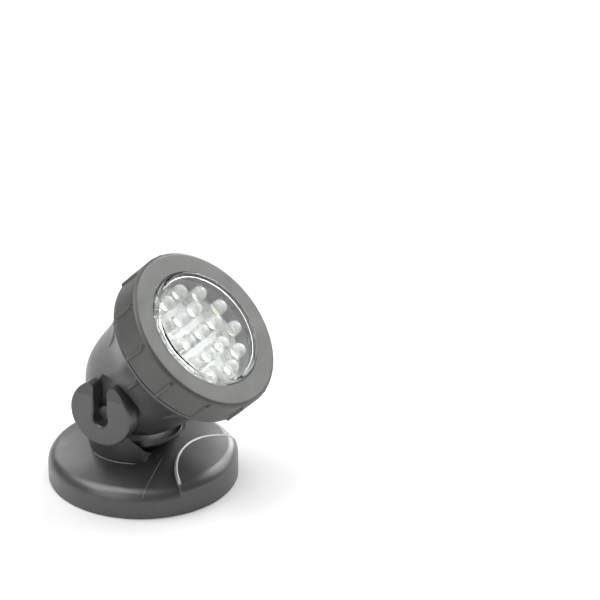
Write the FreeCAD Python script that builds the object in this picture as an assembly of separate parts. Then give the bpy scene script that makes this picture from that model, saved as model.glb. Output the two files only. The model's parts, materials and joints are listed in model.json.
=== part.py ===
import FreeCAD, Part
import math
import os

# Small LED spotlight for ponds: a weighted plastic base with two slotted ears, and a
# bell-shaped lamp head that tilts on two trunnions.  Millimetres, +Z up, the lamp faces -Y.
# The origin is the middle of the base on the surface that it stands on.

V = FreeCAD.Vector

# ---- driving dimensions -------------------------------------------------------------
BASE_RADIUS = 32.0
RIM_CLEARANCE = 0.4          # the rubber pad holds the moulding this far off the ground
WALL_TOP = 5.2               # where the straight base wall ends and the shoulder starts
SHOULDER_RADIUS = 4.8
DOME_TOP = 14.0
DOME_RADIUS = 106.0
SHELL_WALL = 2.2

PAD_RISE = 1.5               # arched pad on the front of the base, above the dome
PAD_ARCH_RADIUS = 26.0       # plan radius of the arch
PAD_ARCH_FRONT = 15.6        # distance of the arch from the axis of the base
PAD_ARCH_SIDE = 2.0          # the arch sits a little off the middle plane
PAD_EDGE = 0.55

PIVOT_Y = 1.4
PIVOT_Z = 31.4
EAR_RADIUS = 11.5
EAR_CENTRE_Z = 32.9
EAR_INNER = 18.35            # inner face of each ear, from the middle plane
EAR_OUTER = 24.0
EAR_EDGE = 0.9
EAR_INNER_EDGE = 0.5
HORN_TIP = 2.2               # rounding of each horn beside the slot
BEVEL_START_Z = 39.1         # the horns of each ear lean in above this height
BEVEL_DEPTH = 1.7
SLOT_NECK = 5.1              # the neck of the keyhole snaps over the trunnion
KEYHOLE_RADIUS = 2.85
CRADLE_RADIUS = 18.5         # hollow that clears the tail of the head
YOKE_RADIUS = 16.6           # plan radius of the foot of the yoke, about the pivot
YOKE_TOP_RADIUS = 19.6
YOKE_TOP_Z = 27.0
YOKE_FRONT_Y = -8.4
YOKE_REAR_Y = 17.0
YOKE_ARCH_RADIUS = 19.5      # the yoke is open between its ears, round the pivot
SWING_POSES = range(-15, 46, 6)
SWING_CLEARANCE = 0.45
HUB_RADIUS = 13.2            # shallow bowl under the tail, between the feet
HUB_WALL = 1.6
HUB_TOP = 19.5

HEAD_TILT = 45.0             # the beam's angle above the horizontal at rest
FACE_Y = -25.25              # middle of the bezel's front face
FACE_Z = 60.85
BEZEL_RADIUS = 28.8
BEZEL_DEPTH = 10.9
BEZEL_EDGE = 1.5
BEZEL_REAR_EDGE = 0.8
FRONT_WALL = 1.7
APERTURE_RADIUS = 20.75
SKIRT_INNER = 27.6
RIB_COUNT = 12
RIB_RADIUS = 0.8
RIB_SINK = 0.15              # how far the rib's centre lies below the ring's surface
RIB_FRONT = 2.9
DIMPLE_RADIUS = 0.75

FLANGE_FRONT = 11.3
FLANGE_THICKNESS = 1.1
FLANGE_RADIUS = 28.3
NECK_RADIUS = 26.35
NECK_FRONT = 4.8
LUG_COUNT = 4
LUG_RADIUS = 27.3
LUG_FRONT = 5.2
LUG_REAR = 7.0
TAB_FRONT = 7.3
TAB_REAR = 9.3
LUG_SPAN = 36.0
TAB_CLEARANCE = 0.05
BELL = [(27.7, 12.4), (25.1, 16.0), (22.2, 22.0), (20.8, 28.0), (19.9, 34.0), (18.6, 40.0),
        (16.2, 45.2), (11.8, 49.6)]
BELL_END = 51.6
BELL_END_RADIUS = 7.6
CHEEK_HALF_WIDTH = 18.0      # flats on the bell where the ears stand
CHEEK_RADIUS = 13.6
TRUNNION_RADIUS = 2.8
TRUNNION_END = 20.1
HOUSING_RIB_COUNT = 8
HOUSING_RIB_END = 24.6
HOUSING_RIB_RADIUS = 1.1
CABLE_HOLE_RADIUS = 4.0

LENS_PROUD = 1.6
LENS_RADIUS = 20.5
LENS_EDGE = 1.1
LENS_THICKNESS = 1.8
LENS_WALL = 1.2
LENS_FLANGE_RADIUS = 25.6
LENS_FLANGE_FRONT = 2.0
LENS_FLANGE_REAR = 3.6
GASKET_INNER = 22.4
GASKET_OUTER = 25.2

BOARD_RADIUS = 20.8
BOARD_FRONT = 9.1
BOARD_THICKNESS = 1.6
BOARD_REAR = BOARD_FRONT + BOARD_THICKNESS
RESIN_REAR = 21.0
HOLLOW_END = 48.4
HOLLOW = [                   # inside of the housing: radius, distance behind the front face
    (21.6, NECK_FRONT - 1), (21.6, BOARD_REAR), (19.4, BOARD_REAR), (19.4, 18.0),
    (15.5, 27.0), (15.5, 38.0), (12.6, 44.0), (8.0, HOLLOW_END),
]
RESISTOR = (3.2, 1.6, 0.6)
RESISTOR_CIRCLE = 11.8
RECTIFIER = (-8.6, -3.9, -2.6, 2.6)
RECTIFIER_HEIGHT = 2.5
CAPACITOR_RADIUS = 2.5
CAPACITOR_HEIGHT = 7.0
CAPACITOR_PLACE = (5.2, 4.2)
TERMINAL = (2.6, 7.6, -6.6, -1.6)
TERMINAL_HEIGHT = 8.0
WIRE_HOLE_RADIUS = 0.9
WIRE_HOLES = ((5.1, -5.3), (5.1, -2.9))
GLAND_FRONT = 46.6
GLAND_BORE = 2.4
GLAND_COLLAR_RADIUS = 5.6
GLAND_COLLAR = 1.4
CORD_RADIUS = 1.7
LOCKNUT_RADIUS = 6.2
LOCKNUT_HEIGHT = 1.6
LED_RADIUS = 2.5
LED_LENGTH = 8.6
LED_FLANGE_RADIUS = 2.9
LED_FLANGE = 1.0
LED_RINGS = [                # name, number of LEDs, radius of the ring, first angle
    ("led_centre", 1, 0.0, 0.0),
    ("leds_inner", 6, 8.4, 0.0),
    ("leds_outer", 11, 15.1, 11.0),
]
LEAD_WIDTH = 0.5
LEAD_PITCH = 2.54
LEAD_HOLE_RADIUS = 0.45
CUP_DEPTH = 4.2              # from the LED's tip down to its reflector cup
CUP_RADIUS = 1.2
CUP_FLOOR_RADIUS = 0.6
CUP_HEIGHT = 0.9

PLATE_RADIUS = 29.4
PLATE_BOTTOM = 0.8
PLATE_TOP = 2.4
BALLAST_RADIUS = 21.0
BALLAST_TOP = 9.2
SCREW_CIRCLE = 25.4
SCREW_COUNT = 4
SCREW_RADIUS = 1.4
BOSS_RADIUS = 2.9
SCREW_HEAD_RADIUS = 2.75
SCREW_HEAD_HEIGHT = 1.35
SCREW_SLOT = (3.0, 0.5, 0.7)     # length, width and depth of each slot of the cross
SCREW_TOP = 8.4
PAD_RADIUS = 22.4            # rubber disc under the plate
PAD_SEAT = 0.7
PAD_GROOVES = (14.0, 16.8, 19.6)


# ---- helpers ------------------------------------------------------------------------
def ring_pattern(count, start=0.0):
    return [start + 360.0 * i / count for i in range(count)]


def cylinder(radius, low, high, x=0.0, y=0.0):
    return Part.makeCylinder(radius, high - low, V(x, y, low))


def tube(outer, inner, low, high):
    return cylinder(outer, low, high).cut(cylinder(inner, low - 1, high + 1))


def box(x0, x1, y0, y1, z0, z1):
    return Part.makeBox(x1 - x0, y1 - y0, z1 - z0, V(x0, y0, z0))


def x_cylinder(radius, x0, x1, y, z):
    return Part.makeCylinder(radius, x1 - x0, V(x0, y, z), V(1, 0, 0))


def spin(edges):
    """Revolve a closed outline drawn in the XZ plane about Z."""
    return Part.Face(Part.Wire(edges)).revolve(V(0, 0, 0), V(0, 0, 1), 360)


def line(a, b):
    return Part.makeLine(V(a[0], 0, a[1]), V(b[0], 0, b[1]))


def outline(points):
    return [line(a, b) for a, b in zip(points, points[1:] + points[:1])]


def arc(a, middle, b):
    return Part.Arc(V(a[0], 0, a[1]), V(middle[0], 0, middle[1]), V(b[0], 0, b[1])).toShape()


def turned(shape, degrees):
    copy = shape.copy()
    copy.rotate(V(0, 0, 0), V(0, 0, 1), degrees)
    return copy


def fuse(shapes):
    return shapes[0].multiFuse(shapes[1:]).removeSplitter() if len(shapes) > 1 else shapes[0]


def bayonet(ring, low, high):
    """The pieces of a thin ring that lie in LUG_COUNT equal sectors."""
    sector = Part.makeCylinder(BEZEL_RADIUS + 1, high - low, V(0, 0, low), V(0, 0, 1), LUG_SPAN)
    return [ring.common(turned(sector, a - LUG_SPAN / 2)) for a in ring_pattern(LUG_COUNT)]


def to_head(shape):
    """From the head's own frame (front face at z = 0, beam along +z) to the part's frame."""
    placed = shape.copy()
    placed.rotate(V(0, 0, 0), V(1, 0, 0), HEAD_TILT)
    placed.translate(V(0, FACE_Y, FACE_Z))
    return placed


def fillet(shape, radius, chosen):
    edges = [e for e in shape.Edges if chosen(e)]
    return shape.makeFillet(radius, edges) if edges else shape


def save(name, shape):
    solids = shape.Solids
    shape = solids[0] if len(solids) == 1 else Part.makeCompound(solids)
    valid = all(s.isValid() for s in solids)
    print(f"{name:18s} solids {len(solids):2d}  volume {shape.Volume:9.1f}  valid {valid}")
    shape.exportStep(os.path.join("parts", name + ".step"))


# ---- base ---------------------------------------------------------------------------
def dome_outline(radius, low, wall_top, shoulder, top):
    """Half section of a flat-sided dome whose shoulder is tangent to its wall and its top."""
    centre_z = top - DOME_RADIUS
    sx = radius - shoulder
    sz = centre_z + math.sqrt((DOME_RADIUS - shoulder) ** 2 - sx ** 2)
    lean = math.atan2(sx, sz - centre_z)
    end = (sx + shoulder * math.sin(lean), sz + shoulder * math.cos(lean))
    turn = (math.pi / 2 + lean) / 2
    middle = (sx + shoulder * math.sin(turn), sz + shoulder * math.cos(turn))
    half = (DOME_RADIUS * math.sin(lean / 2), centre_z + DOME_RADIUS * math.cos(lean / 2))
    return [line((0, low), (radius, low)), line((radius, low), (radius, sz)),
            arc((radius, sz), middle, end), arc(end, half, (0, top)), line((0, top), (0, low))]


def base_dome():
    return spin(dome_outline(BASE_RADIUS, RIM_CLEARANCE, WALL_TOP, SHOULDER_RADIUS, DOME_TOP))


def base_hollow():
    return spin(dome_outline(BASE_RADIUS - SHELL_WALL, RIM_CLEARANCE - 1, WALL_TOP,
                             SHOULDER_RADIUS - SHELL_WALL, DOME_TOP - SHELL_WALL))


def arched_pad():
    """Raised pad on the front of the dome, bounded at the back by an arch in plan."""
    raised = spin(dome_outline(BASE_RADIUS, WALL_TOP - 1, WALL_TOP + PAD_RISE,
                               SHOULDER_RADIUS - 0.4, DOME_TOP + PAD_RISE))
    centre_y = -PAD_ARCH_FRONT - PAD_ARCH_RADIUS
    pad = raised.common(cylinder(PAD_ARCH_RADIUS, 0, DOME_TOP + 5, PAD_ARCH_SIDE, centre_y))

    def top_edge(edge):
        start = edge.valueAt(edge.FirstParameter)
        reach = math.hypot(start.x - PAD_ARCH_SIDE, start.y - centre_y)
        return (abs(reach - PAD_ARCH_RADIUS) < 0.01 and edge.BoundBox.ZMin > WALL_TOP
                and edge.BoundBox.XLength > 3)
    return fillet(pad, PAD_EDGE, top_edge)


def cradle(grow=0.0):
    """The ball that the tail of the head turns in."""
    return Part.makeSphere(CRADLE_RADIUS + grow, V(0, PIVOT_Y, PIVOT_Z))


def yoke_foot():
    """The feet that carry both ears, open between them, and the bowl in the middle."""
    height = YOKE_TOP_Z - DOME_TOP + 3
    cone = Part.makeCone(YOKE_RADIUS, YOKE_TOP_RADIUS, height, V(0, PIVOT_Y, DOME_TOP - 3))
    strip = box(-30, 30, YOKE_FRONT_Y, YOKE_REAR_Y, DOME_TOP - 4, YOKE_TOP_Z)
    opening = Part.makeCylinder(YOKE_ARCH_RADIUS, 60, V(0, -30, PIVOT_Z), V(0, 1, 0))
    bowl = cradle(HUB_WALL).common(cylinder(HUB_RADIUS, DOME_TOP - 3, HUB_TOP))
    return fuse([cone.common(strip).cut(opening), bowl])


def keyhole(side):
    x0, x1 = sorted((side * (EAR_INNER - 3), side * (EAR_OUTER + 1)))
    half = SLOT_NECK / 2
    slot = box(x0, x1, PIVOT_Y - half, PIVOT_Y + half, PIVOT_Z, EAR_CENTRE_Z + EAR_RADIUS + 2)
    return x_cylinder(KEYHOLE_RADIUS, x0, x1, PIVOT_Y, PIVOT_Z).fuse(slot)


def ear(side):
    """Round ear, open above its pivot; side is -1 for the left ear and 1 for the right one."""
    x0, x1 = sorted((side * EAR_INNER, side * EAR_OUTER))
    disc = x_cylinder(EAR_RADIUS, x0, x1, PIVOT_Y, EAR_CENTRE_Z).cut(keyhole(side))
    horns = fillet(disc, HORN_TIP, lambda e: e.BoundBox.ZMin > EAR_CENTRE_Z + EAR_RADIUS - 1
                   and e.BoundBox.XLength > 3)

    def on_face(x):
        return lambda edge: edge.BoundBox.XLength < 0.01 and abs(edge.BoundBox.XMin - side * x) < 0.1
    horns = fillet(horns, EAR_EDGE, on_face(EAR_OUTER))
    horns = fillet(horns, EAR_INNER_EDGE, on_face(EAR_INNER))
    return horns.cut(horn_bevel(side))


def horn_bevel(side):
    """Wedge taken off the outer face of an ear above the bevel line."""
    outer = side * (EAR_OUTER + 1)
    top = EAR_CENTRE_Z + EAR_RADIUS + 1
    corners = [V(side * EAR_OUTER, -15, BEVEL_START_Z), V(outer, -15, BEVEL_START_Z),
               V(outer, -15, top), V(side * (EAR_OUTER - BEVEL_DEPTH), -15, top)]
    face = Part.Face(Part.makePolygon(corners + corners[:1]))
    return face.extrude(V(0, 40, 0))


def screw_places():
    return [(SCREW_CIRCLE * math.cos(math.radians(a)), SCREW_CIRCLE * math.sin(math.radians(a)))
            for a in ring_pattern(SCREW_COUNT, 45.0)]


def head_swing():
    """All that the bell needs free as it tilts, as a few of its poses and the ball of its tail."""
    poses = [cradle()]
    for angle in SWING_POSES:
        pose = to_head(bell_solid(SWING_CLEARANCE))
        pose.rotate(V(0, PIVOT_Y, PIVOT_Z), V(-1, 0, 0), angle)
        poses.append(pose)
    return poses


def base_shell():
    yoke = yoke_foot()
    for pose in head_swing():
        yoke = yoke.cut(pose)
    solid = fuse([base_dome(), arched_pad()]).cut(cradle())
    solid = fuse([solid, yoke]).cut(base_hollow())
    ears = [ear(side) for side in (-1, 1)]
    solid = fuse([solid] + ears)
    ceiling = DOME_TOP - SHELL_WALL
    bosses = [cylinder(BOSS_RADIUS, PLATE_TOP, ceiling, x, y) for x, y in screw_places()]
    trimmed = [boss.common(base_dome()) for boss in bosses]
    solid = fuse([solid] + trimmed)
    pilots = [cylinder(SCREW_RADIUS, PLATE_TOP - 1, SCREW_TOP + 0.2, x, y) for x, y in screw_places()]
    return solid.cut(Part.makeCompound(pilots))


def base_plate():
    plate = cylinder(PLATE_RADIUS, PLATE_BOTTOM, PLATE_TOP)
    seat = cylinder(PAD_RADIUS + 0.1, PLATE_BOTTOM - 1, PLATE_BOTTOM + PAD_SEAT)
    hole = SCREW_RADIUS + 0.15
    sink = SCREW_HEAD_RADIUS + 0.15
    holes = [cylinder(hole, PLATE_BOTTOM - 1, PLATE_TOP + 1, x, y) for x, y in screw_places()]
    sinks = [Part.makeCone(sink, hole, SCREW_HEAD_HEIGHT, V(x, y, PLATE_BOTTOM))
             for x, y in screw_places()]
    return plate.cut(seat).cut(Part.makeCompound(holes)).cut(Part.makeCompound(sinks))


def plate_screws():
    head = Part.makeCone(SCREW_HEAD_RADIUS, SCREW_RADIUS, SCREW_HEAD_HEIGHT,
                         V(0, 0, PLATE_BOTTOM + 0.05))
    screw = fuse([head, cylinder(SCREW_RADIUS, PLATE_BOTTOM + 1.0, SCREW_TOP)])
    length, width, depth = SCREW_SLOT
    slot = box(-length / 2, length / 2, -width / 2, width / 2, PLATE_BOTTOM, PLATE_BOTTOM + depth)
    screw = screw.cut(slot).cut(turned(slot, 90))
    screws = []
    for x, y in screw_places():
        copy = screw.copy()
        copy.translate(V(x, y, 0))
        screws.append(copy)
    return Part.makeCompound(screws)


def ballast_weight():
    weight = cylinder(BALLAST_RADIUS, PLATE_TOP, BALLAST_TOP)
    return fillet(weight, 1.0, lambda e: abs(e.BoundBox.ZMax - BALLAST_TOP) < 0.01 and e.Length > 20)


def rubber_pad():
    disc = cylinder(PAD_RADIUS, 0.0, PLATE_BOTTOM + PAD_SEAT)
    grooves = [tube(r + 0.4, r - 0.4, -1, 0.35) for r in PAD_GROOVES]
    return disc.cut(Part.makeCompound(grooves))


# ---- head, drawn with its front face at z = 0 and its body towards -z ------------------
def bezel_ring():
    solid = fillet(cylinder(BEZEL_RADIUS, -BEZEL_DEPTH, 0), BEZEL_EDGE,
                   lambda e: abs(e.BoundBox.ZMin) < 0.01 and e.Length > 20)
    solid = fillet(solid, BEZEL_REAR_EDGE,
                   lambda e: abs(e.BoundBox.ZMax + BEZEL_DEPTH) < 0.01 and e.Length > 20)
    solid = solid.cut(cylinder(APERTURE_RADIUS, -BEZEL_DEPTH - 1, 1))
    solid = solid.cut(cylinder(SKIRT_INNER, -BEZEL_DEPTH - 1, -FRONT_WALL))
    lead_in = Part.makeCone(APERTURE_RADIUS + 0.5, APERTURE_RADIUS - 0.1, 0.6, V(0, 0, 0), V(0, 0, -1))
    solid = solid.cut(lead_in)
    tab_ring = tube(SKIRT_INNER + 0.3, NECK_RADIUS + TAB_CLEARANCE, -TAB_REAR, -TAB_FRONT)
    tabs = bayonet(tab_ring, -TAB_REAR, -TAB_FRONT)
    rib_x = BEZEL_RADIUS - RIB_SINK
    rib_rear = BEZEL_DEPTH - BEZEL_REAR_EDGE - 0.2
    rib = cylinder(RIB_RADIUS, -rib_rear, -RIB_FRONT, rib_x)
    ends = [Part.makeSphere(RIB_RADIUS, V(rib_x, 0, z)) for z in (-RIB_FRONT, -rib_rear)]
    rib = fuse([rib] + ends)
    dimple = Part.makeSphere(DIMPLE_RADIUS, V(BEZEL_RADIUS + 0.3, 0, RIB_RADIUS + 0.5 - RIB_FRONT))
    angles = ring_pattern(RIB_COUNT, 15.0)
    ribs = [turned(rib, a) for a in angles]
    solid = fuse([solid] + tabs + ribs)
    return solid.cut(Part.makeCompound([turned(dimple, a) for a in angles]))


def bell_solid(grow=0.0):
    """The turned bell behind the flange, grown all over by a clearance if one is given."""
    side = [(r + grow, -s) for r, s in BELL]
    curve = Part.BSplineCurve()
    curve.interpolate([V(x, 0, z) for x, z in side])
    end = (BELL_END_RADIUS, -BELL_END - grow)
    tail_middle = (end[0] + (side[-1][0] - end[0]) * 0.55,
                   side[-1][1] + (end[1] - side[-1][1]) * 0.65)
    front = (side[0][0], -FLANGE_FRONT)
    return spin([line((0, -FLANGE_FRONT), front), line(front, side[0]), curve.toShape(),
                 arc(side[-1], tail_middle, end), line(end, (0, end[1])),
                 line((0, end[1]), (0, -FLANGE_FRONT))])


def bell():
    flange_rear = FLANGE_FRONT + FLANGE_THICKNESS
    flange = cylinder(FLANGE_RADIUS, -flange_rear, -FLANGE_FRONT)
    flange = fillet(flange, 0.35, lambda e: e.Length > 20)
    neck = cylinder(NECK_RADIUS, -FLANGE_FRONT - 1, -NECK_FRONT)
    return fuse([bell_solid(), flange, neck])


def bell_ribs():
    """Rounded ridges that run back from the flange, each ending in a ball."""
    spots = [(r - 0.45, 0, -s) for r, s in BELL if s < HOUSING_RIB_END]
    last = (21.15 - 0.45, 0, -HOUSING_RIB_END)
    curve = Part.BSplineCurve()
    curve.interpolate([V(*p) for p in spots + [last]])
    path = Part.Wire([curve.toShape()])
    start = curve.value(curve.FirstParameter)
    direction = curve.tangent(curve.FirstParameter)[0]
    circle = Part.Wire([Part.Circle(start, direction, HOUSING_RIB_RADIUS).toShape()])
    pipe = path.makePipeShell([circle], True, False)
    rib = pipe.fuse(Part.makeSphere(HOUSING_RIB_RADIUS, V(*last)))
    return [turned(rib, a) for a in ring_pattern(HOUSING_RIB_COUNT)]


def housing_hollow():
    steps = [(r, -s) for r, s in HOLLOW]
    return spin(outline([(0, steps[0][1])] + steps + [(0, steps[-1][1])]))


def pivot_in_head():
    """The pivot's place in the head's own frame."""
    angle = math.radians(HEAD_TILT)
    dy, dz = PIVOT_Y - FACE_Y, PIVOT_Z - FACE_Z
    return (dy * math.cos(angle) + dz * math.sin(angle), -dy * math.sin(angle) + dz * math.cos(angle))


def head_housing():
    y, z = pivot_in_head()
    solid = fuse([bell()] + bell_ribs())
    for side in (-1, 1):
        x0, x1 = sorted((side * CHEEK_HALF_WIDTH, side * 40))
        solid = solid.cut(x_cylinder(CHEEK_RADIUS, x0, x1, y, z))
    solid = solid.cut(housing_hollow()).cut(cylinder(CABLE_HOLE_RADIUS, -60, -40))
    lug_ring = tube(LUG_RADIUS, NECK_RADIUS - 0.5, -LUG_REAR, -LUG_FRONT)
    pins = []
    for side in (-1, 1):
        x0, x1 = sorted((side * (CHEEK_HALF_WIDTH - 1.5), side * TRUNNION_END))
        pins.append(x_cylinder(TRUNNION_RADIUS, x0, x1, y, z))
    return fuse([solid] + bayonet(lug_ring, -LUG_REAR, -LUG_FRONT) + pins)


def lens_cover():
    """Clear cup: a proud front disc, a clamped flange and a side wall that holds the board down."""
    puck = fillet(cylinder(LENS_RADIUS, -BOARD_FRONT, LENS_PROUD), LENS_EDGE,
                  lambda e: abs(e.BoundBox.ZMin - LENS_PROUD) < 0.01 and e.Length > 20)
    inside = cylinder(LENS_RADIUS - LENS_WALL, -BOARD_FRONT - 1, LENS_PROUD - LENS_THICKNESS)
    inside = fillet(inside, 0.6, lambda e: e.BoundBox.ZMin > -1 and e.Length > 20)
    flange = tube(LENS_FLANGE_RADIUS, LENS_RADIUS - 0.5, -LENS_FLANGE_REAR, -LENS_FLANGE_FRONT)
    return fuse([puck.cut(inside), flange])


def lens_gasket():
    return tube(GASKET_OUTER, GASKET_INNER, -NECK_FRONT, -LENS_FLANGE_REAR)


def led_places():
    spots = []
    for name, count, radius, start in LED_RINGS:
        for angle in ring_pattern(count, start):
            a = math.radians(angle)
            spots.append((name, radius * math.cos(a), radius * math.sin(a), angle))
    return spots


def at_led(shape, spot):
    copy = turned(shape, spot[3])
    copy.translate(V(spot[1], spot[2], 0))
    return copy


def led_leads():
    """The two leads inside one LED: the post, and the anvil that holds the reflector cup."""
    half = LEAD_WIDTH / 2
    tip = -(BOARD_FRONT - LED_LENGTH)
    cup_z = tip - CUP_DEPTH
    end = -BOARD_REAR - 1.2
    floor_z = cup_z - CUP_HEIGHT
    post = box(-half, half, LEAD_PITCH / 2 - half, LEAD_PITCH / 2 + half, end, floor_z - 0.3)
    leg = box(-half, half, -LEAD_PITCH / 2 - half, -LEAD_PITCH / 2 + half, end, floor_z)
    anvil = box(-half, half, -LEAD_PITCH / 2 - half, CUP_FLOOR_RADIUS, floor_z - 0.6, floor_z + 0.2)
    cup = Part.makeCone(CUP_FLOOR_RADIUS + 0.15, CUP_RADIUS + 0.15, CUP_HEIGHT, V(0, 0, floor_z))
    bowl = Part.makeCone(CUP_FLOOR_RADIUS, CUP_RADIUS, CUP_HEIGHT - 0.3, V(0, 0, floor_z + 0.3))
    return post, fuse([leg, anvil, cup]).cut(bowl), bowl


def led_body():
    tip = -(BOARD_FRONT - LED_LENGTH)
    body = cylinder(LED_RADIUS, -BOARD_FRONT, tip - LED_RADIUS)
    dome = Part.makeSphere(LED_RADIUS, V(0, 0, tip - LED_RADIUS))
    rim = cylinder(LED_FLANGE_RADIUS, -BOARD_FRONT, -BOARD_FRONT + LED_FLANGE)
    post, anvil, chip = led_leads()
    return fuse([body, dome, rim]).cut(Part.makeCompound([post, anvil, chip]))


def led_board():
    board = cylinder(BOARD_RADIUS, -BOARD_REAR, -BOARD_FRONT)
    pair = Part.makeCompound([cylinder(LEAD_HOLE_RADIUS, -BOARD_REAR - 1, 1 - BOARD_FRONT, 0, y)
                              for y in (-LEAD_PITCH / 2, LEAD_PITCH / 2)])
    holes = [at_led(pair, spot) for spot in led_places()]
    return board.cut(Part.makeCompound(holes))


def resistors():
    length, width, height = RESISTOR
    chip = box(-length / 2, length / 2, -width / 2, width / 2, -BOARD_REAR - height, -BOARD_REAR)
    chip.translate(V(RESISTOR_CIRCLE, 0, 0))
    return [turned(chip, a) for a in ring_pattern(6, 30.0)]


def rectifier():
    return box(*RECTIFIER, -BOARD_REAR - RECTIFIER_HEIGHT, -BOARD_REAR)


def capacitor():
    can = cylinder(CAPACITOR_RADIUS, -BOARD_REAR - CAPACITOR_HEIGHT, -BOARD_REAR, *CAPACITOR_PLACE)
    return fillet(can, 0.4, lambda e: e.Length > 10)


def terminal_blank():
    return box(*TERMINAL, -BOARD_REAR - TERMINAL_HEIGHT, -BOARD_REAR)


def terminal_block():
    rear = -BOARD_REAR - TERMINAL_HEIGHT
    wires = [cylinder(WIRE_HOLE_RADIUS, rear - 1, rear + 5, x, y) for x, y in WIRE_HOLES]
    return terminal_blank().cut(Part.makeCompound(wires))


def potting_resin(enclosed):
    resin = cylinder(HOLLOW[2][0], -RESIN_REAR, -BOARD_REAR).common(housing_hollow())
    x0, x1, y0, y1 = TERMINAL
    mouth = box(x0 - 1, x1 + 1, y0 - 1, y1 + 1, -RESIN_REAR - 1, 0.1 - BOARD_REAR - TERMINAL_HEIGHT)
    return resin.cut(mouth).cut(Part.makeCompound(enclosed))


def gland_body():
    rear = -BELL_END - GLAND_COLLAR
    barrel = tube(CABLE_HOLE_RADIUS, GLAND_BORE, rear, -GLAND_FRONT)
    collar = tube(GLAND_COLLAR_RADIUS, GLAND_BORE, rear, -BELL_END)
    return fillet(fuse([barrel, collar]), 0.3, lambda e: e.Length > 30)


def gland_locknut():
    corners = [turned(Part.Vertex(LOCKNUT_RADIUS, 0, -HOLLOW_END), a).Point for a in ring_pattern(6)]
    hexagon = Part.Face(Part.makePolygon(corners + corners[:1]))
    return hexagon.extrude(V(0, 0, LOCKNUT_HEIGHT)).cut(cylinder(CABLE_HOLE_RADIUS, -60, -40))


def inlet_seal():
    return tube(GLAND_BORE, CORD_RADIUS, -BELL_END - GLAND_COLLAR - 0.5, -GLAND_FRONT - 0.4)


def main():
    os.makedirs("parts", exist_ok=True)
    save("base_shell", base_shell())
    save("base_plate", base_plate())
    save("plate_screws", plate_screws())
    save("ballast_weight", ballast_weight())
    save("rubber_pad", rubber_pad())

    places = led_places()
    post, anvil, chip = led_leads()
    body = led_body()
    leads = [at_led(lead, spot) for spot in places for lead in (post, anvil)]
    for name, *_ in LED_RINGS:
        bodies = [at_led(body, spot) for spot in places if spot[0] == name]
        save(name, to_head(Part.makeCompound(bodies)))
    save("led_leadframes", to_head(Part.makeCompound(leads)))
    save("led_chips", to_head(Part.makeCompound([at_led(chip, spot) for spot in places])))
    solder_tails = Part.makeCompound(leads)
    chips = resistors()
    for maker in (rectifier, capacitor, terminal_block):
        save(maker.__name__, to_head(maker().cut(solder_tails)))
    save("resistors", to_head(Part.makeCompound(chips)))
    enclosed = leads + chips + [rectifier(), capacitor(), terminal_blank()]
    save("potting_resin", to_head(potting_resin(enclosed)))
    for maker in (bezel_ring, head_housing, lens_cover, lens_gasket, led_board, gland_body,
                  gland_locknut, inlet_seal):
        save(maker.__name__, to_head(maker()))


main()
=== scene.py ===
"""Underwater pond light: finishes, mould seams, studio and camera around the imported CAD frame."""

import json
import math

import bmesh
import bpy
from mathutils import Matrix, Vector
from mathutils.bvhtree import BVHTree


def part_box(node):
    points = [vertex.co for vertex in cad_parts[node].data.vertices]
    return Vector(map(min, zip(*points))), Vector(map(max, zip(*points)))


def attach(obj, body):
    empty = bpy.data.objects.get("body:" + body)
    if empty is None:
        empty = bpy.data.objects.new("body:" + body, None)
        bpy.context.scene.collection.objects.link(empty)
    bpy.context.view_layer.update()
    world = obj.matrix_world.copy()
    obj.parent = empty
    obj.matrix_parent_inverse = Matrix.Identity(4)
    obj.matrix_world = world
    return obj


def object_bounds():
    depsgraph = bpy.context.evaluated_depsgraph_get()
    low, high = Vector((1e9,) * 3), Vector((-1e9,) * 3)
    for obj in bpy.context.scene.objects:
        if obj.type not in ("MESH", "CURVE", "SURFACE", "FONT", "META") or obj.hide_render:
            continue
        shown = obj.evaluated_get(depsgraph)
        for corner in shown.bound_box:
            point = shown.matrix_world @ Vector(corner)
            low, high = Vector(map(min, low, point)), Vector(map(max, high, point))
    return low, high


MM = 0.001
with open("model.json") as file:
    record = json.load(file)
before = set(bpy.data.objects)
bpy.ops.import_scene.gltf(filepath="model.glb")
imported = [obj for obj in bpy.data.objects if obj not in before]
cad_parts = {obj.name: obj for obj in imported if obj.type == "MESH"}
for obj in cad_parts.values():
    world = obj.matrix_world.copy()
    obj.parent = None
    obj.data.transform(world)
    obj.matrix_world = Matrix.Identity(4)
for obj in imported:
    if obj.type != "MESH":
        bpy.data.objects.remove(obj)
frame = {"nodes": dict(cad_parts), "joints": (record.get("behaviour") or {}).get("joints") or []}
cad_low, cad_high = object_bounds()
nodes = frame["nodes"]
tilt = next(joint for joint in frame["joints"] if joint["name"] == "head_tilt")
pivot_y = tilt["pos_m"][1]
base_low, base_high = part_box("base_shell")
base_radius = (base_high.x - base_low.x) / 2
base_dome_top = 14.0 * MM
pad_ceiling = base_dome_top + 3 * MM  # a hit above this is the yoke or the head, not the pad
PAD_ARCH_RADIUS = 26.0 * MM
PAD_ARCH_FRONT = 15.6 * MM
PAD_ARCH_SIDE = 2.0 * MM
PAD_LIP_INSET = 0.5 * MM
PAD_LIP_STEP = 0.6  # degrees
PAD_LIP_STEPS = 100
BASE_SHOULDER = 1.6 * MM
FOOT_ROOF = base_dome_top + 1.6 * MM
FOOT_NEAR, FOOT_FAR = 13.0 * MM, 20.0 * MM  # the feet end between these distances from the pivot
FOOT_SEARCH = 0.05 * MM
FOOT_GAP = 0.12 * MM


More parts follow.
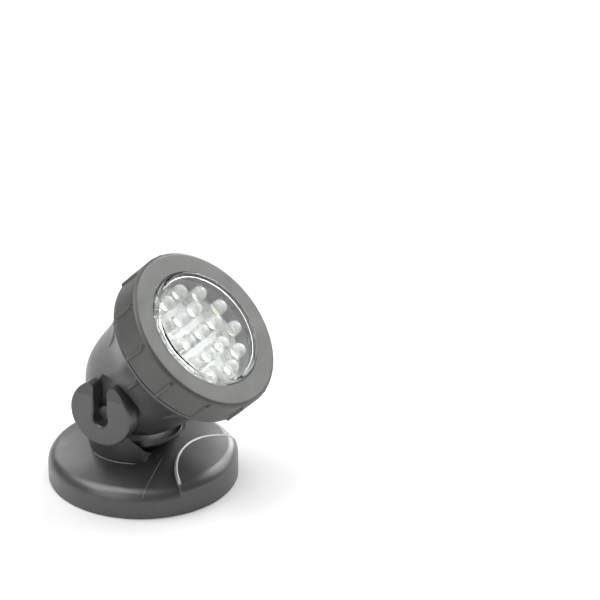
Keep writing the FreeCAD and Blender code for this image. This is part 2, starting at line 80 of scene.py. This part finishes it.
# ---------------------------------------------------------------- materials
class Finish:
    """A Principled material whose patterns are laid out in the object's own metres."""

    def __init__(self, name, roughness=0.5, **constants):
        self.material = bpy.data.materials.new(name)
        self.material.use_nodes = True
        self.tree = self.material.node_tree
        self.shader = self.tree.nodes["Principled BSDF"]
        self.output = self.tree.nodes["Material Output"]
        self.place = self.tree.nodes.new("ShaderNodeTexCoord").outputs["Object"]
        self.shader.inputs["Roughness"].default_value = roughness
        for socket, value in constants.items():
            self.shader.inputs[socket.replace("_", " ")].default_value = value

    def link(self, source, target):
        self.tree.links.new(source, target)
        return source

    def noise(self, size, detail=2.0, rough=0.5, stretch=(1, 1, 1)):
        """Noise whose blobs are about `size` metres across."""
        place = self.tree.nodes.new("ShaderNodeMapping")
        place.inputs["Scale"].default_value = stretch
        self.link(self.place, place.inputs["Vector"])
        node = self.tree.nodes.new("ShaderNodeTexNoise")
        node.inputs["Scale"].default_value = 1 / size
        node.inputs["Detail"].default_value = detail
        node.inputs["Roughness"].default_value = rough
        self.link(place.outputs["Vector"], node.inputs["Vector"])
        return node.outputs["Fac"]

    def spread(self, value, low, high, to_low, to_high):
        """Carries the part of a pattern between low and high to a range, clamped."""
        node = self.tree.nodes.new("ShaderNodeMapRange")
        for socket, number in zip(node.inputs[1:5], (low, high, to_low, to_high)):
            socket.default_value = number
        self.link(value, node.inputs["Value"])
        return node.outputs["Result"]

    def blend(self, factor, first, second):
        """Mixes two colours; either one may be a socket."""
        node = self.tree.nodes.new("ShaderNodeMix")
        node.data_type = "RGBA"
        self.link(factor, node.inputs["Factor"])
        for socket, colour in ((node.inputs[6], first), (node.inputs[7], second)):
            if isinstance(colour, tuple):
                socket.default_value = (*colour, 1)
            else:
                self.link(colour, socket)
        return node.outputs[2]

    def colour(self, value):
        self.link(value, self.shader.inputs["Base Color"])

    def roughness(self, value):
        self.link(value, self.shader.inputs["Roughness"])

    def fix(self, socket, value):
        """A value that is the same all over the surface."""
        self.shader.inputs[socket].default_value = value

    def relief(self, *layers):
        """Stacks bumps, each given as (height pattern, depth in metres, strength)."""
        normal = None
        for height, depth, strength in layers:
            node = self.tree.nodes.new("ShaderNodeBump")
            node.inputs["Distance"].default_value = depth
            node.inputs["Strength"].default_value = strength
            self.link(height, node.inputs["Height"])
            if normal is not None:
                self.link(normal, node.inputs["Normal"])
            normal = node.outputs["Normal"]
        self.link(normal, self.shader.inputs["Normal"])

    def lets_lamps_through(self, tint):
        """Lamp light passes straight through, so that what is behind isn't in the dark."""
        clear = self.tree.nodes.new("ShaderNodeBsdfTransparent")
        clear.inputs["Color"].default_value = (*tint, 1)
        path = self.tree.nodes.new("ShaderNodeLightPath")
        mix = self.tree.nodes.new("ShaderNodeMixShader")
        self.link(path.outputs["Is Shadow Ray"], mix.inputs[0])
        self.link(self.shader.outputs[0], mix.inputs[1])
        self.link(clear.outputs[0], mix.inputs[2])
        self.link(mix.outputs[0], self.output.inputs["Surface"])


def moulded(name, dark, light, roughness, grain, dust=0.5, shine=1.0, tint=(1, 1, 1, 1)):
    """Injection-moulded plastic: cloudy colour, fine spark texture and a little pale dust."""
    f = Finish(name, IOR=1.5)
    f.fix("Specular IOR Level", shine)
    f.fix("Specular Tint", tint)
    body = f.blend(f.spread(f.noise(9 * MM, 3), 0.3, 0.7, 0, 1), dark, light)
    mottle = tuple(1.5 * c for c in light)
    body = f.blend(f.spread(f.noise(0.9 * MM, 4, 0.6), 0.5, 0.75, 0, 0.6), body, mottle)
    speck = tuple(5 * c for c in light)
    body = f.blend(f.spread(f.noise(0.5 * MM, 1), 0.74, 0.80, 0, dust), body, speck)
    f.colour(body)
    smear = f.noise(14 * MM, 4, 0.6, (1, 1, 2.5))
    f.roughness(f.spread(smear, 0.3, 0.7, roughness - 0.05, roughness + 0.06))
    f.relief(
        (f.noise(7 * MM, 2), 0.10 * MM, 0.2),
        (f.noise(0.35 * MM, 2, 0.6), 0.018 * MM, grain),
    )
    return f.material


# ---------------------------------------------------------------- camera
SENSOR = 36.0
LENS = 216.15
AZIMUTH, ELEVATION = math.radians(-60.41), math.radians(26.52)
DISTANCE = 1.33343
AIM = Vector((0.1394, 0.0184, 0.0))  # where the middle of the picture meets the ground


def direction(azimuth, elevation):
    """From the object towards a viewer or a lamp; azimuth 0 is in front, along -Y."""
    flat = math.cos(elevation)
    return Vector((math.sin(azimuth) * flat, -math.cos(azimuth) * flat, math.sin(elevation)))


def place_camera():
    data = bpy.data.cameras.new("camera")
    data.sensor_width = SENSOR
    data.lens = LENS
    data.clip_start = 0.01
    camera = bpy.data.objects.new("camera", data)
    bpy.context.scene.collection.objects.link(camera)
    back = direction(AZIMUTH, ELEVATION)
    camera.location = AIM + back * DISTANCE
    camera.rotation_euler = (-back).to_track_quat("-Z", "Y").to_euler()
    bpy.context.scene.camera = camera


# ---------------------------------------------------------------- studio
SOFTBOXES = [  # name, azimuth, elevation, side in metres, radiance
    ("key_right", 58, 28, 1.0, 3.5),
    ("far_right", 96, 13, 0.6, 7.5),
    ("high_right", 80, 44, 0.6, 6.0),
    ("far_left", 148, 28, 0.8, 2.2),
    ("overhead", -150, 62, 1.2, 3.4),
    ("fill_left", -100, 30, 1.2, 1.6),
    ("top", 0, 88, 1.5, 1.2),
]
FLOOR_SIDE = 8.0


def softbox(name, azimuth, elevation, side, radiance, distance=1.6):
    """A square diffuser that looks at the object, as bright as `radiance` all over."""
    data = bpy.data.lights.new(name, "AREA")
    data.shape = "SQUARE"
    data.size = side
    data.energy = radiance * math.pi * side * side
    lamp = bpy.data.objects.new(name, data)
    bpy.context.scene.collection.objects.link(lamp)
    back = direction(math.radians(azimuth), math.radians(elevation))
    lamp.location = (cad_low + cad_high) / 2 + back * distance
    lamp.rotation_euler = (-back).to_track_quat("-Z", "Y").to_euler()


def build_studio():
    world = bpy.data.worlds.new("studio")
    world.use_nodes = True
    sky = world.node_tree.nodes["Background"]
    sky.inputs["Color"].default_value = (0.97, 0.98, 1, 1)
    sky.inputs["Strength"].default_value = 0.25
    bpy.context.scene.world = world
    bpy.context.scene.view_settings.view_transform = "Standard"
    for box in SOFTBOXES:
        softbox(*box)

    mesh = bpy.data.meshes.new("floor")
    grid = bmesh.new()
    bmesh.ops.create_grid(grid, x_segments=1, y_segments=1, size=FLOOR_SIDE / 2)
    grid.to_mesh(mesh)
    grid.free()
    floor = bpy.data.objects.new("floor", mesh)
    floor.location.z = cad_low.z
    bpy.context.scene.collection.objects.link(floor)
    f = Finish("pale_floor", 0.8)
    f.colour(f.blend(f.noise(0.4), (0.88, 0.88, 0.88), (0.9, 0.9, 0.9)))
    mesh.materials.append(f.material)


# ---------------------------------------------------------------- finishes of the CAD nodes
def wear(material, *names):
    for name in names:
        for slot in nodes[name].material_slots:
            slot.material = material


def clear_cover():
    f = Finish("cover_clear", 0.03, IOR=1.5)
    f.fix("Transmission Weight", 1.0)
    f.fix("Specular Tint", (0.2, 0.2, 0.2, 1))
    f.colour(f.blend(f.noise(6 * MM, 3), (0.965, 0.975, 0.972), (0.985, 0.99, 0.987)))
    f.roughness(f.spread(f.noise(3 * MM, 4, 0.7), 0.45, 0.75, 0.015, 0.07))
    f.relief((f.noise(8 * MM, 2), 0.06 * MM, 0.25))
    f.lets_lamps_through((0.96, 0.97, 0.97))
    return f.material


def lamp_epoxy():
    f = Finish("lamp_epoxy", 0.05, IOR=1.5)
    f.fix("Transmission Weight", 0.82)
    f.colour(f.blend(f.noise(1.2 * MM, 3), (0.95, 0.96, 0.95), (0.99, 0.995, 0.98)))
    f.roughness(f.spread(f.noise(1.5 * MM, 3), 0.4, 0.7, 0.01, 0.06))
    f.relief((f.noise(1.6 * MM, 2), 0.05 * MM, 0.3))
    f.lets_lamps_through((0.95, 0.96, 0.94))
    return f.material


def speckled(name, dark, light, roughness, size, metallic=0.0, depth=0.02 * MM):
    """A plain matt or metal finish with a broken colour, roughness and grain."""
    f = Finish(name, roughness, Metallic=metallic)
    f.colour(f.blend(f.spread(f.noise(size, 4, 0.65), 0.35, 0.65, 0, 1), dark, light))
    f.roughness(f.spread(f.noise(3 * size, 3), 0.3, 0.7, roughness - 0.08, roughness + 0.08))
    f.relief((f.noise(size / 2, 3, 0.6), depth, 0.5))
    return f.material


def dress_cad():
    wear(moulded("plastic_bezel", (0.040, 0.042, 0.038), (0.049, 0.051, 0.047), 0.44, 0.5, 0.1,
                 shine=0.82, tint=(0.98, 1, 0.955, 1)),
         "bezel_ring")
    wear(moulded("plastic_housing", (0.034, 0.035, 0.033), (0.044, 0.045, 0.043), 0.38, 0.4, 0.2),
         "head_housing", "gland_body", "gland_locknut")
    wear(moulded("plastic_base", (0.025, 0.026, 0.0245), (0.034, 0.035, 0.033), 0.36, 0.4, 0.6),
         "base_shell", "base_plate")
    wear(clear_cover(), "lens_cover")
    wear(lamp_epoxy(), "led_centre", "leds_inner", "leds_outer")
    wear(speckled("phosphor", (0.95, 0.80, 0.36), (0.98, 0.90, 0.55), 0.5, 0.4 * MM),
         "led_chips")
    wear(speckled("tinned_lead", (0.55, 0.55, 0.53), (0.80, 0.80, 0.78), 0.30, 0.6 * MM, 1.0),
         "led_leadframes")
    wear(speckled("board_white", (0.66, 0.69, 0.68), (0.74, 0.77, 0.76), 0.45, 2.0 * MM),
         "led_board")
    wear(speckled("component_black", (0.02, 0.02, 0.02), (0.04, 0.04, 0.04), 0.5, 0.5 * MM),
         "rectifier", "capacitor", "resistors")
    wear(speckled("terminal_green", (0.05, 0.26, 0.13), (0.08, 0.36, 0.19), 0.45, 1.0 * MM),
         "terminal_block")
    wear(speckled("resin_grey", (0.12, 0.13, 0.135), (0.18, 0.19, 0.20), 0.35, 2.5 * MM),
         "potting_resin")
    wear(speckled("rubber_black", (0.014, 0.014, 0.014), (0.028, 0.028, 0.027), 0.75, 0.7 * MM),
         "rubber_pad", "lens_gasket", "inlet_seal")
    wear(speckled("ballast_iron", (0.10, 0.10, 0.10), (0.20, 0.19, 0.18), 0.6, 0.8 * MM, 1.0),
         "ballast_weight")
    wear(speckled("screw_steel", (0.50, 0.50, 0.49), (0.68, 0.68, 0.66), 0.28, 0.5 * MM, 1.0),
         "plate_screws")


# ---------------------------------------------------------------- mould seams on the base, coloured pale as painted highlights
class Skin:
    """Finds the outside of a CAD node from above."""

    def __init__(self, name):
        mesh = nodes[name].data
        mesh.calc_loop_triangles()
        spots = [v.co.copy() for v in mesh.vertices]
        self.tree = BVHTree.FromPolygons(spots, [t.vertices[:] for t in mesh.loop_triangles])

    def below(self, x, y, z):
        """The first skin straight below a spot, with its normal."""
        spot, normal, _, _ = self.tree.ray_cast(Vector((x, y, z)), Vector((0, 0, -1)))
        return spot, normal

    def inside(self, spot):
        """True inside the solid: a way up meets an odd number of skins."""
        spot, met = spot.copy(), 0
        while True:
            hit, _, _, _ = self.tree.ray_cast(spot, Vector((0.001, 0.002, 1)).normalized())
            if hit is None:
                return met % 2 == 1
            spot, met = hit + Vector((0, 0, 0.01 * MM)), met + 1


FADE_ROWS = 4  # a ridge sinks into the skin over this many rows at each end
CREST = 0.35  # width of its flat top as a part of its whole width


def ridge(name, path, width, proud, material="seam_painted_highlight"):
    """A fine raised line along a path of (spot, normal), let into the skin, with faded ends; its
    pale material is a painted highlight.
    """
    mesh = bmesh.new()
    rows = []
    last = len(path) - 1
    for i, (spot, normal) in enumerate(path):
        along = path[min(i + 1, last)][0] - path[max(i - 1, 0)][0]
        side = normal.cross(along).normalized() * width / 2
        from_end = min(i, last - i) + 0.5
        fade = math.sin(math.pi / 2 * min(1.0, from_end / FADE_ROWS))
        crest = spot + normal * proud * fade
        foot = spot - normal * proud
        rows.append([mesh.verts.new(foot - side), mesh.verts.new(crest - side * CREST),
                     mesh.verts.new(crest + side * CREST), mesh.verts.new(foot + side)])
    for a, b in zip(rows, rows[1:]):
        for j in range(4):
            mesh.faces.new((a[j], b[j], b[(j + 1) % 4], a[(j + 1) % 4]))
    mesh.faces.new(rows[0][::-1])
    mesh.faces.new(rows[-1])
    bmesh.ops.recalc_face_normals(mesh, faces=mesh.faces)
    data = bpy.data.meshes.new(name)
    mesh.to_mesh(data)
    mesh.free()
    piece = bpy.data.objects.new(name, data)
    bpy.context.scene.collection.objects.link(piece)
    data.materials.append(bpy.data.materials[material])
    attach(piece, "base")


def seam(name, skin, start, end, steps=40, width=0.26 * MM, proud=0.07 * MM):
    """A flash line, straight in plan, from one spot of the base to another."""
    path = []
    for i in range(steps + 1):
        x, y = (a + (b - a) * i / steps for a, b in zip(start, end))
        path.append(skin.below(x, y, cad_high.z))
    ridge(name, path, width, proud)


def foot_bead(name, skin, side, width=0.5 * MM, proud=0.16 * MM):
    """The rounded line of plastic where a foot of the yoke meets the dome."""
    path = []
    pivot = Vector((0, pivot_y, FOOT_ROOF))
    for degrees in range(-46, 50, 2):
        turn = math.radians(degrees)
        out = Vector((side * math.cos(turn), math.sin(turn), 0))
        reach = FOOT_NEAR
        while skin.inside(pivot + out * reach) and reach < FOOT_FAR:
            reach += FOOT_SEARCH
        if FOOT_NEAR + 2 * FOOT_SEARCH < reach < FOOT_FAR:
            spot, normal = skin.below(*(pivot + out * (reach + FOOT_GAP)))
            path.append((spot, (normal + out).normalized()))
    ridge(name, path, width, proud)


def pad_bead(name, skin, width=1.25 * MM, proud=0.22 * MM):
    """The rounded lip along the arch of the raised pad, found as the step in the dome."""
    centre = Vector((PAD_ARCH_SIDE, -PAD_ARCH_FRONT - PAD_ARCH_RADIUS, 0))
    path = []
    for step in range(-PAD_LIP_STEPS, PAD_LIP_STEPS + 1):
        turn = math.radians(step * PAD_LIP_STEP)
        out = Vector((math.sin(turn), math.cos(turn), 0))
        edge = centre + out * (PAD_ARCH_RADIUS - PAD_LIP_INSET)
        if edge.xy.length > base_radius - BASE_SHOULDER:
            continue
        spot, normal = skin.below(edge.x, edge.y, cad_high.z)
        if spot.z < pad_ceiling:
            path.append((spot, (Vector((0, 0, 1)) + out * 0.35).normalized()))
    # The lip's pale material is a painted highlight.
    ridge(name, path, width, proud, "lip_painted_highlight")


def build_seams(skin):
    """Flash lines of the mould's side cores, on the side where they show, and the feet's edges, all
    in pale plastic that paints the highlights they catch.
    """
    seam("seam_front", skin, (-27.2 * MM, -16.6 * MM), (-8.4 * MM, -12.8 * MM))
    seam("seam_front_end", skin, (-8.9 * MM, -10.9 * MM), (-6.9 * MM, -11.4 * MM), 12)
    seam("seam_rear", skin, (-21.4 * MM, 22.5 * MM), (-9.0 * MM, 20.3 * MM))
    seam("seam_foot", skin, (-13.3 * MM, -8.65 * MM), (-10.7 * MM, -8.65 * MM), 10,
         width=0.45 * MM, proud=0.14 * MM)
    pad_bead("pad_bead", skin)
    foot_bead("foot_bead_left", skin, -1)
    foot_bead("foot_bead_right", skin, 1)


dress_cad()
# Far paler than the base: painted highlight for the light that the seams and the feet's beads
# catch.
moulded("seam_painted_highlight", (0.17, 0.17, 0.165), (0.26, 0.26, 0.25), 0.3, 0.2)
# Paler still: painted highlight for the light that the rounded lip of the pad catches.
moulded("lip_painted_highlight", (0.26, 0.26, 0.25), (0.34, 0.34, 0.325), 0.3, 0.2)
base_skin = Skin("base_shell")
build_seams(base_skin)
build_studio()
place_camera()
